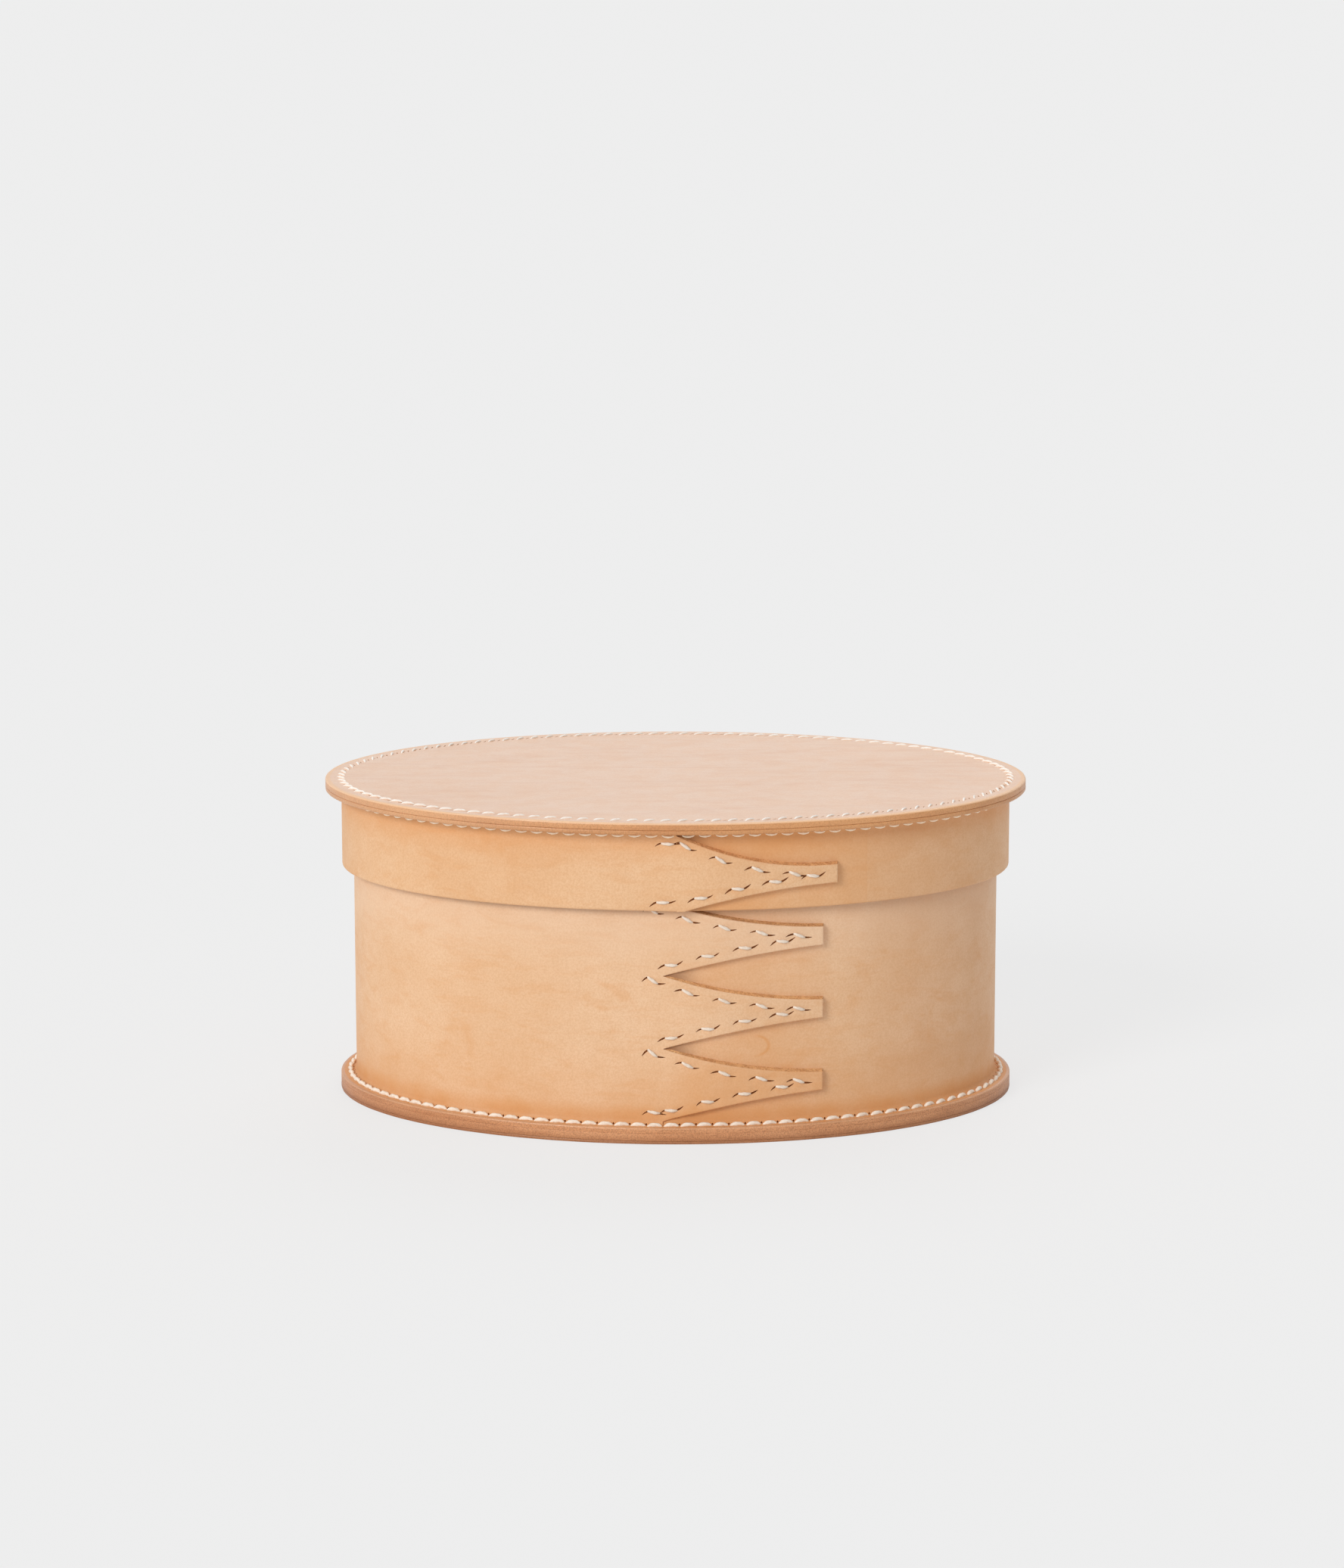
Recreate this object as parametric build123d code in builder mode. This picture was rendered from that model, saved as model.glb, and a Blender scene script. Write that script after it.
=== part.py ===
from build123d import *
import os
from math import acos, cos, degrees, radians, sin, sqrt

os.makedirs("parts", exist_ok=True)

# Oval of the body wall over its outside, and the whole box
wall_length = 202.4
wall_width = 143.2
box_height = 99.2

# Leather of each piece
wall_leather = 2.0
band_leather = 2.0
base_leather = 2.4
lid_leather = 2.1
sole_leather = 0.9
foot_flange_leather = 1.7
lid_flange_leather = 1.4

# How far the plates and flanges stand out past the wall and past the lid's band
foot_overhang = 5.0
lid_overhang = 5.1

# Fit of the lid: its band round the wall, and its plate above the wall's rim
band_gap = 1.7
rim_gap = 0.3
band_depth = 25.4

# Moulded folds and softened edges
foot_fold = 1.6
lid_fold = 2.0
plate_edge = 0.6
rim_bevel = 0.3

# Lap at the front of the wall, as places along X: the skived inner end starts at the
# tongue, the outer end rises over it from the rise to the full height, and the fingers
# leave the outer end's edge at the end
lap_slit = 0.1
flange_slit = 0.3
skived_edge = 0.2
wall_tongue_x = -8.0
wall_rise_x = -16.0
wall_full_x = 16.0
wall_end_x = -3.5
wall_tip_x = 44.9

# The same lap on the lid's band
band_tongue_x = -6.0
band_rise_x = -14.0
band_full_x = 18.0
band_end_x = 0.6
band_seam_start_x = 1.7
band_low_root_x = 3.0
band_tip_x = 49.0

# Swallowtail fingers: those of the wall share the height from just above its flange to
# just under the lid's band, and the band has one
finger_count = 3
first_notch_rise = 1.05
top_notch_tuck = 1.85
finger_tip = 5.6
finger_sag = 1.55
notch_width = 0.4
band_finger_rise = 10.3
band_finger_tip = 5.6
band_root_drop = 0.9
band_upper_sag = 3.0
band_lower_sag = 1.7

# Waxed thread: beads of the two long seams, and the spaced stitches on the fingers
thread_radius = 0.55
thread_clearance = 0.03
seam_pitch = 5.0
bead_length = 4.2
foot_seam_offset = 2.0
lid_seam_inset = 5.0
finger_seam_inset = 2.8
finger_stitch_pitch = 11.4
finger_stitch = 4.2
upper_first_stitch = 7.7
lower_first_stitch = 2.6
stitches_per_edge = 4
band_upper_first_stitch = 2.9
band_lower_first_stitch = 5.1

# Stitches beside the notches, and the doubled ones that end a row, as places along X and
# up from the notch, from the band's flange or from its lower edge
notch_stitch = (-6.6, -1.4)
foot_end_stitch = (-6.3, 2.7)
band_upper_end_stitch = (-2.1, -3.3)
band_lower_end_stitch = (-3.5, 2.7)
notch_turn = -36.0
foot_end_turn = -8.0
band_end_turn = -2.0

# How far the stitches of a row lean from its line
row_lean = -14.0

overrun = 3.0
fold_side_share = 0.6

# Levels and offsets that follow from the sizes above
foot_level = sole_leather + base_leather
flange_top = foot_level + foot_flange_leather
lid_level = box_height - lid_leather
lid_flange_bottom = lid_level - lid_flange_leather
rim_level = lid_level - rim_gap
band_bottom = lid_level - band_depth
first_notch_z = flange_top + first_notch_rise
finger_pitch = (band_bottom + top_notch_tuck - first_notch_z) / finger_count
band_finger_z = band_bottom + band_finger_rise
band_outside = band_gap + band_leather
lid_offset = band_outside + lid_overhang
bead_reach = thread_radius / cos(radians(30)) + thread_clearance


def half_axes(offset):
    """Half length and half width of the oval that lies this far outside the wall."""
    return wall_length / 2 + offset, wall_width / 2 + offset


def front_angle(x, offset):
    """Angle at which the front of an oval passes a place along X."""
    return -degrees(acos(x / half_axes(offset)[0]))


def front_point(x, offset):
    """Point on the front of an oval."""
    half_length, half_width = half_axes(offset)
    return Vector(x, -half_width * sqrt(1 - (x / half_length) ** 2))


def front_heading(x, offset):
    """Direction of the oval's line at its front, towards +X."""
    half_length, half_width = half_axes(offset)
    turn = radians(front_angle(x, offset))
    return Vector(-half_length * sin(turn), half_width * cos(turn)).normalized()


def front_arc(offset, from_x, to_x):
    """Short stretch of an oval across the front."""
    start = front_angle(from_x, offset)
    return EllipticalCenterArc(
        (0, 0), *half_axes(offset), start, arc_size=front_angle(to_x, offset) - start
    )


def round_arc(offset, from_x, to_x):
    """Long stretch of an oval, from the front to the right, round the back and home."""
    start = front_angle(from_x, offset)
    return EllipticalCenterArc(
        (0, 0), *half_axes(offset), start, arc_size=360 + front_angle(to_x, offset) - start
    )


def rise(low_offset, high_offset, from_x, to_x):
    """Gentle S along the front from one oval up to another."""
    return Spline(
        front_point(from_x, low_offset),
        front_point(to_x, high_offset),
        tangents=(front_heading(from_x, low_offset), front_heading(to_x, high_offset)),
    )


def ring_outline(inside, leather, tongue_x, rise_x, full_x):
    """Plan of a strip from its skived inner end, once round, to the foot of its rise."""
    outside = inside + leather
    with BuildLine() as outline:
        round_arc(inside, tongue_x, rise_x)
        Line(front_point(rise_x, inside), front_point(rise_x, outside))
        round_arc(outside, full_x, rise_x)
        rise(inside + skived_edge, outside, tongue_x, full_x)
        Line(front_point(tongue_x, inside + skived_edge), front_point(tongue_x, inside))
    make_face(outline.edges())


def lap_outline(inside, leather, rise_x, full_x, tip_x):
    """Plan of a strip's outer end, which rises over the inner end and lies on it."""
    under = inside + leather + lap_slit
    over = under + leather
    tip_angle = radians(front_angle(tip_x, over))
    inner_tip_x = half_axes(under)[0] * cos(tip_angle)
    with BuildLine() as outline:
        rise(inside, under, rise_x, full_x)
        front_arc(under, full_x, inner_tip_x)
        Line(front_point(inner_tip_x, under), front_point(tip_x, over))
        front_arc(over, full_x, tip_x)
        rise(inside + leather, over, rise_x, full_x)
        Line(front_point(rise_x, inside), front_point(rise_x, inside + leather))
    make_face(outline.edges())


def keep_side(end_x, left):
    """Keep what lies to one side of the outer end's edge."""
    reach = wall_length
    with Locations((end_x - reach / 2 if left else end_x + reach / 2, 0)):
        Rectangle(reach, reach, mode=Mode.INTERSECT)


def rim_edges(plate, level):
    """Rim of a plate at one of its faces."""
    return plate.edges().filter_by_position(Axis.Z, level, level)


def fold_edges(strip, level, wall_offset, overhang):
    """Edges where a strip's outside meets its flange."""
    half_length, half_width = half_axes(wall_offset + overhang * fold_side_share)

    def lies_at_wall(edge):
        middle = edge.position_at(0.5)
        return (middle.X / half_length) ** 2 + (middle.Y / half_width) ** 2 < 1

    level_edges = strip.edges().filter_by_position(Axis.Z, level, level)
    return level_edges.filter_by(GeomType.LINE, reverse=True).filter_by(lies_at_wall)


def finger_outline(low_root, high_root, tip, sags):
    """One swallowtail finger seen from the front, run on past its tip."""
    tip_x, tip_z, tip_half = tip
    low_tip, high_tip = Vector(tip_x, tip_z - tip_half), Vector(tip_x, tip_z + tip_half)
    past_tip = Vector(overrun, 0)
    with BuildLine() as outline:
        SagittaArc(low_root, low_tip, sags[0])
        Polyline(low_tip, low_tip + past_tip, high_tip + past_tip, high_tip)
        SagittaArc(high_root, high_tip, -sags[1])
        Line(low_root, high_root)
    make_face(outline.edges())


def place_at_x(line, x):
    """How far along a line across the front, from 0 to 1, it passes a place along X."""
    low, high = 0.0, 1.0
    for _ in range(40):
        middle = (low + high) / 2
        if line.position_at(middle).X < x:
            low = middle
        else:
            high = middle
    return (low + high) / 2


def flange_outline(inside, leather, outer_offset, tongue_x, rise_x, full_x, end_x):
    """Plan of a flange, from the middle of its strip outward, open where its ends meet."""
    middle = inside + leather / 2
    with BuildLine() as whole_climb:
        rise(middle, middle + leather + lap_slit, rise_x, full_x)
    with BuildLine() as whole_skive:
        rise(inside + skived_edge / 2, middle, tongue_x, full_x)
    climb, skive = whole_climb.edge(), whole_skive.edge()
    climb = climb.trim(0, place_at_x(climb, end_x))
    skive = skive.trim(place_at_x(skive, end_x + flange_slit), 1)
    with BuildLine() as outline:
        add(climb)
        add(skive)
        round_arc(middle, full_x, rise_x)
        round_arc(outer_offset, end_x + flange_slit, end_x)
        Line(climb @ 1, front_point(end_x, outer_offset))
        Line(skive @ 0, front_point(end_x + flange_slit, outer_offset))
    make_face(outline.edges())


def closed_seam(offset):
    """Line of a seam that runs unbroken all round an oval."""
    with BuildLine() as line:
        EllipticalCenterArc((0, 0), *half_axes(offset), -90, arc_size=360)
    return line.edge()


def seam_line(offset, step, start_x, rise_x, full_x, end_x):
    """Line of a seam that follows a strip's outside from one end of its flange to the other."""
    with BuildLine() as whole_rise:
        rise(offset, offset + step, rise_x, full_x)
    climb = whole_rise.edge()
    with BuildLine() as line:
        round_arc(offset, start_x, rise_x)
        add(climb.trim(0, place_at_x(climb, end_x)))
    return line.wire()


def bead_planes(line, level):
    """Planes square to a level line, one at the middle of each stitch."""
    count = round(line.length / seam_pitch)
    planes = []
    for number in range(count):
        along = (number + 0.5) / count
        where, heading = line.position_at(along), line.tangent_at(along)
        planes.append(
            Plane((where.X, where.Y, level), x_dir=heading.cross(Vector(0, 0, 1)), z_dir=heading)
        )
    return planes


def lap_line(outside, leather, rise_x, full_x, tip_x):
    """Plan line of the middle of a thread that lies on the outer end of a strip."""
    low = outside + thread_radius + thread_clearance
    high = low + leather + lap_slit
    with BuildLine() as line:
        rise(low, high, rise_x, full_x)
        front_arc(high, full_x, tip_x)
    return line.wire()


def stitch_plane(line, x, z, turn):
    """Plane square to a stitch that lies on the lap, turned up from level by an angle."""
    along = place_at_x(line, x)
    where, level_heading = line.position_at(along), line.tangent_at(along)
    outward = level_heading.cross(Vector(0, 0, 1))
    heading = level_heading * cos(radians(turn)) + Vector(0, 0, 1) * sin(radians(turn))
    return Plane((where.X, where.Y, z), x_dir=outward.cross(heading), z_dir=heading)


def row_planes(line, root, tip, sag, first):
    """Planes of the stitches along one edge of a finger."""
    with BuildLine() as row:
        SagittaArc(root, tip, sag)
    edge = row.edge()
    planes = []
    for number in range(stitches_per_edge):
        along = (first + number * finger_stitch_pitch) / edge.length
        where, heading = edge.position_at(along), edge.tangent_at(along)
        turn = degrees(heading.Y / heading.X) + row_lean
        planes.append(stitch_plane(line, where.X, where.Y, turn))
    return planes


# Bottom sole: hides the underside of the seam
with BuildPart() as bottom_sole:
    with BuildSketch():
        Ellipse(*half_axes(foot_overhang))
    extrude(amount=sole_leather)
    chamfer(rim_edges(bottom_sole, 0), rim_bevel)

bottom_sole.part.label = "bottom_sole"
export_step(bottom_sole.part, "parts/bottom_sole.step")

# Base plate
with BuildPart() as base_plate:
    with BuildSketch(Plane.XY.offset(sole_leather)):
        Ellipse(*half_axes(foot_overhang))
    extrude(amount=base_leather)
    chamfer(rim_edges(base_plate, sole_leather), rim_bevel)

base_plate.part.label = "base_plate"
export_step(base_plate.part, "parts/base_plate.step")

# Fingers of the wall's outer end, cut from the lap
with BuildPart() as wall_fingers:
    with BuildSketch(Plane.XY.offset(foot_level)):
        lap_outline(-wall_leather, wall_leather, wall_rise_x, wall_full_x, wall_tip_x)
        keep_side(wall_end_x, left=False)
    extrude(amount=rim_level - foot_level)
    with BuildSketch(Plane.XZ):
        for number in range(finger_count):
            middle_z = first_notch_z + (number + 0.5) * finger_pitch
            root_half, tip_half = (finger_pitch - notch_width) / 2, finger_tip / 2
            finger_outline(
                (wall_end_x, middle_z - root_half),
                (wall_end_x, middle_z + root_half),
                (wall_tip_x, middle_z, tip_half),
                (finger_sag, finger_sag),
            )
    extrude(amount=wall_width, mode=Mode.INTERSECT)

# Body wall: one strip, wrapped once round and lapped at the front
with BuildPart() as body_wall:
    with BuildSketch(Plane.XY.offset(foot_level)):
        lap_outline(-wall_leather, wall_leather, wall_rise_x, wall_full_x, wall_tip_x)
        keep_side(wall_end_x, left=True)
        ring_outline(-wall_leather, wall_leather, wall_tongue_x, wall_rise_x, wall_full_x)
    extrude(amount=rim_level - foot_level)
    with BuildSketch(Plane.XY.offset(foot_level)):
        flange_outline(
            -wall_leather, wall_leather, foot_overhang,
            wall_tongue_x, wall_rise_x, wall_full_x, wall_end_x,
        )
    extrude(amount=foot_flange_leather)
    fillet(fold_edges(body_wall, flange_top, 0, foot_overhang), foot_fold)
    add(wall_fingers.part)

body_wall.part.label = "body_wall"
export_step(body_wall.part, "parts/body_wall.step")

# One bead of a long seam and one spaced stitch, both lying along Z
with BuildPart() as bead:
    with BuildSketch():
        RegularPolygon(thread_radius, 6, major_radius=False)
    extrude(amount=bead_length / 2, both=True)

with BuildPart() as stitch:
    with BuildSketch():
        RegularPolygon(thread_radius, 6, major_radius=False)
    extrude(amount=finger_stitch / 2, both=True)

# Base seam: a bead of thread for each stitch, in the fold of the flange
foot_seam_line = seam_line(
    foot_seam_offset,
    wall_leather + lap_slit,
    wall_end_x + flange_slit,
    wall_rise_x,
    wall_full_x,
    wall_end_x,
)
with BuildPart() as base_seam_thread:
    with Locations(*bead_planes(foot_seam_line, flange_top + thread_radius)):
        add(bead.part)

base_seam_thread.part.label = "base_seam_thread"
export_step(base_seam_thread.part, "parts/base_seam_thread.step")

# Stitches along the edges of the wall's fingers, round their notches and at the ends
wall_lap_line = lap_line(0, wall_leather, wall_rise_x, wall_full_x, wall_tip_x)
wall_stitch_planes = []
for number in range(finger_count):
    middle_z = first_notch_z + (number + 0.5) * finger_pitch
    root, tip = finger_pitch / 2 - finger_seam_inset, finger_tip / 2 - finger_seam_inset
    for side, first in ((1, upper_first_stitch), (-1, lower_first_stitch)):
        wall_stitch_planes += row_planes(
            wall_lap_line,
            (wall_end_x, middle_z + side * root),
            (wall_tip_x, middle_z + side * tip),
            -side * finger_sag,
            first,
        )
for number in range(finger_count + 1):
    (x, up), turn = (notch_stitch, notch_turn) if number else (foot_end_stitch, foot_end_turn)
    notch_z = first_notch_z + number * finger_pitch
    wall_stitch_planes.append(stitch_plane(wall_lap_line, x, notch_z + up, turn))

with BuildPart() as body_finger_thread:
    with Locations(*wall_stitch_planes):
        add(stitch.part)

body_finger_thread.part.label = "body_finger_thread"
export_step(body_finger_thread.part, "parts/body_finger_thread.step")

# Lid plate
with BuildPart() as lid_plate:
    with BuildSketch(Plane.XY.offset(lid_level)):
        Ellipse(*half_axes(lid_offset))
    extrude(amount=lid_leather)
    fillet(rim_edges(lid_plate, box_height), plate_edge)
    chamfer(rim_edges(lid_plate, lid_level), rim_bevel)

lid_plate.part.label = "lid_plate"
export_step(lid_plate.part, "parts/lid_plate.step")

# Finger of the band's outer end
with BuildPart() as band_finger:
    with BuildSketch(Plane.XY.offset(band_bottom)):
        lap_outline(band_gap, band_leather, band_rise_x, band_full_x, band_tip_x)
        keep_side(band_end_x, left=False)
    extrude(amount=band_depth)
    with BuildSketch(Plane.XZ):
        finger_outline(
            (band_low_root_x, band_bottom),
            (band_end_x, lid_flange_bottom - band_root_drop),
            (band_tip_x, band_finger_z, band_finger_tip / 2),
            (band_lower_sag, band_upper_sag),
        )
        with BuildLine():
            Polyline(
                (band_low_root_x, band_bottom),
                (band_end_x, lid_flange_bottom - band_root_drop),
                (band_end_x, band_bottom),
                close=True,
            )
        make_face()
    extrude(amount=wall_width, mode=Mode.INTERSECT)

# Lid band: one strip, lapped at the front, with its flange at the top
with BuildPart() as lid_band:
    with BuildSketch(Plane.XY.offset(band_bottom)):
        lap_outline(band_gap, band_leather, band_rise_x, band_full_x, band_tip_x)
        keep_side(band_end_x, left=True)
        ring_outline(band_gap, band_leather, band_tongue_x, band_rise_x, band_full_x)
    extrude(amount=band_depth)
    with BuildSketch(Plane.XY.offset(lid_flange_bottom)):
        flange_outline(
            band_gap, band_leather, lid_offset,
            band_tongue_x, band_rise_x, band_full_x, band_end_x,
        )
    extrude(amount=lid_flange_leather)
    fillet(fold_edges(lid_band, lid_flange_bottom, band_outside, lid_overhang), lid_fold)
    add(band_finger.part)

lid_band.part.label = "lid_band"
export_step(lid_band.part, "parts/lid_band.step")

# Lid seam: beads on the plate and, under its edge, in the fold of the band
fold_nest = lid_fold - (lid_fold - bead_reach) * cos(radians(45))
under_seam_line = seam_line(
    band_outside + fold_nest,
    band_leather + lap_slit,
    band_seam_start_x,
    band_rise_x,
    band_full_x,
    band_end_x,
)
top_planes = bead_planes(closed_seam(lid_offset - lid_seam_inset), box_height + thread_radius)
under_planes = bead_planes(under_seam_line, lid_flange_bottom - fold_nest)
with BuildPart() as lid_seam_thread:
    with Locations(*top_planes, *under_planes):
        add(bead.part)

lid_seam_thread.part.label = "lid_seam_thread"
export_step(lid_seam_thread.part, "parts/lid_seam_thread.step")

# Stitches along the edges of the band's finger
band_lap_line = lap_line(band_outside, band_leather, band_rise_x, band_full_x, band_tip_x)
tip = band_finger_tip / 2 - finger_seam_inset
band_stitch_planes = row_planes(
    band_lap_line,
    (band_end_x, lid_flange_bottom - finger_seam_inset),
    (band_tip_x, band_finger_z + tip),
    -band_upper_sag,
    band_upper_first_stitch,
)
band_stitch_planes += row_planes(
    band_lap_line,
    (band_low_root_x, band_bottom + finger_seam_inset),
    (band_tip_x, band_finger_z - tip),
    band_lower_sag,
    band_lower_first_stitch,
)
for (x, up), level in (
    (band_upper_end_stitch, lid_flange_bottom), (band_lower_end_stitch, band_bottom)
):
    band_stitch_planes.append(stitch_plane(band_lap_line, x, level + up, band_end_turn))

with BuildPart() as lid_finger_thread:
    with Locations(*band_stitch_planes):
        add(stitch.part)

lid_finger_thread.part.label = "lid_finger_thread"
export_step(lid_finger_thread.part, "parts/lid_finger_thread.step")
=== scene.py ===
import math
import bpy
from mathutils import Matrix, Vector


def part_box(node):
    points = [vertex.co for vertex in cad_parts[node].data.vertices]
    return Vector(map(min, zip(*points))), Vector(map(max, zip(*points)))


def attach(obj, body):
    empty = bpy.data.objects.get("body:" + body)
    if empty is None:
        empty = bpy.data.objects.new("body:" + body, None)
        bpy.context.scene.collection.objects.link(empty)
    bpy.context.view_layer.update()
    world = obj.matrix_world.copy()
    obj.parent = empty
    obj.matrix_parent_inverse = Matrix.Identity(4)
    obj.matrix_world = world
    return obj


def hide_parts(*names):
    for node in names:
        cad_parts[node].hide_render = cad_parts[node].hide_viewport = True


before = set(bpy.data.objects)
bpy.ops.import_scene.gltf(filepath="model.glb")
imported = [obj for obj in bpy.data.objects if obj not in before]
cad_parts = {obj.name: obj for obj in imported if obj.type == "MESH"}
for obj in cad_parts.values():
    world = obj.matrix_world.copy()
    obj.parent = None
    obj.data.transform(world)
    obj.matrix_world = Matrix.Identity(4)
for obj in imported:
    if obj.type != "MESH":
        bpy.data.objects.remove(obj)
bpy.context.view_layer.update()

from types import SimpleNamespace

import bmesh
import bpy
import numpy as np
from mathutils import Quaternion, Vector

MM = 0.001

# Levels in millimetres, read from the frame
sole_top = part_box("bottom_sole")[1].z / MM
foot_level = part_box("base_plate")[1].z / MM
flange_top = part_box("base_seam_thread")[0].z / MM
rim_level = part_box("body_wall")[1].z / MM
band_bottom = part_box("lid_band")[0].z / MM
lid_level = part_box("lid_plate")[0].z / MM
box_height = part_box("lid_plate")[1].z / MM

# Oval of the wall over its outside, worked out from the base plate's overhang
foot_overhang = 5.0
half_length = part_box("base_plate")[1].x / MM - foot_overhang
half_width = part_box("base_plate")[1].y / MM - foot_overhang
lid_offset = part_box("lid_plate")[1].x / MM - half_length

# Near the front's middle an offset leads straight forward, and past this reach it turns outward
straight_reach = 55.0
straight_fade = 30.0

# Leather, the fit of the lid and the moulded folds
leather = 2.0
band_gap = 1.7
band_outside = band_gap + leather
lap_slit = 0.1
flange_slit = 0.05
lid_flange = 1.4
lid_flange_bottom = lid_level - lid_flange
foot_fold = 1.6
inner_fold = 2.6
lid_fold = 2.0
lid_inner_fold = 1.2

# Rounding of the edges, how uneven they are, and the wall's bulges, which fade out at the lap
rim_round = 0.45
rim_sway = 0.1
flange_foot_round = 0.1
mouth_round = 0.5
band_top_round = 0.3
band_foot_round = 0.5
band_foot_outside = 0.3
band_foot_inside = 0.4
wall_bulge = 0.25
lap_middle, lap_half, lap_fade = 20, 45, 20

# The inner end of a strip, skived where it runs back under the outer end
tongue_thin = 0.15
tongue_slit = 0.03
tongue_tuck = 0.4
tongue_columns = 10
tongue_fold_gap = 1.5
tongue_rim_gap = 0.3

# Fingers of the wall and the band
finger_count = 3
first_notch_rise = 1.05
top_notch_tuck = 1.85
first_notch_z = flange_top + first_notch_rise
finger_pitch = (band_bottom + top_notch_tuck - first_notch_z) / finger_count
finger_tip = 5.6
finger_sag = 1.55
wall_tip_x = 44.9
band_tip_x = 49.0
band_finger_rise = 10.3
band_finger_z = band_bottom + band_finger_rise
band_low_root_x = 3.0
band_root_drop = 0.9
band_upper_sag = 3.0
band_lower_sag = 1.7
finger_slant = 0.55
lower_slant_share = 0.2
edge_reach = 3.0
finger_bevel = 0.32
bevel_share = 0.6
torn_edge = 0.07

# Seams
seam_pitch = 5.0
foot_seam_offset = 2.0
lid_seam_inset = 5.0
lid_seam_offset = lid_offset - lid_seam_inset
lid_seam_sink = 0.05
groove_depth, groove_breadth = 0.08, 0.8
under_seam_offset = band_outside + 0.9
under_seam_drop = 0.95
under_seam_start = 1.1
finger_seam_inset = 2.8
finger_stitch_pitch = 11.4
row_count = 4
row_lean = -14.0

# Stitches: half their length, the thread's radius, how high they arch over the leather and how
# deep they dive, how far they sway aside, and how much thinner they get towards their ends
stitch_half = 1.65
foot_stitch = dict(half=2.45, radius=0.67, rise=0.4, dive=0.75, sway=0.1, taper=0.6)
lid_stitch = dict(half=2.3, radius=0.37, rise=0.22, dive=0.5, sway=0.0, taper=0.55)
under_stitch = dict(half=1.75, radius=0.36, rise=0.12, dive=0.35, sway=0.0, taper=0.4)
finger_stitch = dict(half=stitch_half + 0.45, radius=0.52, rise=0.24, dive=0.72, sway=0.0, taper=0.6)
foot_lean, lid_lean, under_slope = 4, 34, 50
thread_crease, thread_rings, thread_sides = 60, 15, 12
thread_turn, thread_shift = 0.06, 0.07
strand_depth, strand_twist = 0.1, 2.2

# The awl's cuts at the stitches' ends, and how far a finger's thread sinks into their dents
cut_length = 3.0
cut_half_width = 0.36
cut_sway = 6.0
cut_sizes = (0.82, 1.08)
cut_reach = 0.38
cut_depth = 0.2
cut_spread = 1.2
cut_lift, small_cut_lift = 0.05, 0.04
drawn_share = 0.4
top_cut_lean = 42
fold_cut_turn, fold_cut_span = 65, 20

UP = np.array([0, 0, 1.0])


def smooth(share):
    """0 below 0, 1 above 1 and an even S between."""
    share = np.clip(share, 0, 1)
    return share * share * (3 - 2 * share)


def oval(angle, offset):
    """Place on the oval that lies this far outside the wall, angle 0 at +X and 90 degrees at the
    back. Near the front's middle the same angle keeps the same place along X at every offset."""
    angle, offset = np.broadcast_arrays(angle, offset)
    back = np.sin(angle) > 0
    aside = np.abs(half_length * np.cos(angle))
    spread = np.where(back, 1.0, smooth((aside - straight_reach) / straight_fade))
    x = (half_length + offset * spread) * np.cos(angle)
    depth = (half_width + offset) * np.sqrt(np.maximum(0, 1 - (x / (half_length + offset)) ** 2))
    return x, np.where(back, depth, -depth)


def front(x, offset):
    """How far forward the oval at this offset lies at a place along X, as Y."""
    return -(half_width + offset) * np.sqrt(1 - (x / (half_length + offset)) ** 2)


def front_angle(x):
    """Angle of the wall's oval at a place along X on the front."""
    return -np.arccos(x / half_length)


def to_points(x, y, z):
    """Points from their coordinates, each of which may be shared by several."""
    return np.stack(np.broadcast_arrays(x, y, z), -1)


def unit(vectors):
    """Vectors brought to a length of 1."""
    return vectors / np.linalg.norm(vectors, axis=-1, keepdims=True)


def lengths(x, y):
    """How far along a line each of its points lies."""
    return np.concatenate([[0], np.cumsum(np.hypot(np.diff(x), np.diff(y)))])


def wobble(angle, seed, size, waves=(5, 11, 17, 29, 43, 67)):
    """A small unevenness that closes on itself round the oval."""
    phases = np.random.default_rng(seed).uniform(0, 2 * math.pi, len(waves))
    total = sum(np.sin(wave * angle + phase) for wave, phase in zip(waves, phases))
    return total * size / len(waves)


class Lap(SimpleNamespace):
    """The two ends of a strip where they lap at the front, as offsets from the oval at places
    along X. The inner end runs back to tongue_x. The outer end rises from rise_x to full_x, and
    only its fingers go on past end_x, root_step over the inner end at first and a whole leather
    after step_reach. At flange_level the strip is moulded outward with the radius fold_out."""

    def over(self, x):
        """Outer face of the outer end."""
        rise = smooth((x - self.rise_x) / (self.full_x - self.rise_x))
        return self.outside + (leather + lap_slit) * rise

    def under(self, x):
        """Outer face of the inner end, which the outer end is pressed into at its root."""
        deeper = (leather + lap_slit - self.root_step) * smooth((x - self.end_x) / self.step_reach)
        return self.over(x) - self.root_step - deeper

    def back(self, x):
        """Inner face of the outer end."""
        lifted = self.over(x) - leather
        share = smooth((x - self.tongue_x) / (self.end_x - self.tongue_x))
        return lifted + (self.under(x) - lifted) * share

    def fold(self, z):
        """How far the moulded fold stands out at a height."""
        height = np.abs(z - self.flange_level)
        return self.fold_out * (1 - np.sqrt(1 - np.clip(1 - height / self.fold_out, 0, 1) ** 2))

    def seam_lift(self, angles):
        """How far a seam round the strip is pushed out as it passes the lap."""
        x = half_length * np.cos(angles)
        lift = np.where(x <= self.end_x, self.over(x), self.under(x)) - self.outside
        return np.where(np.sin(angles) < 0, lift, 0.0)


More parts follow.
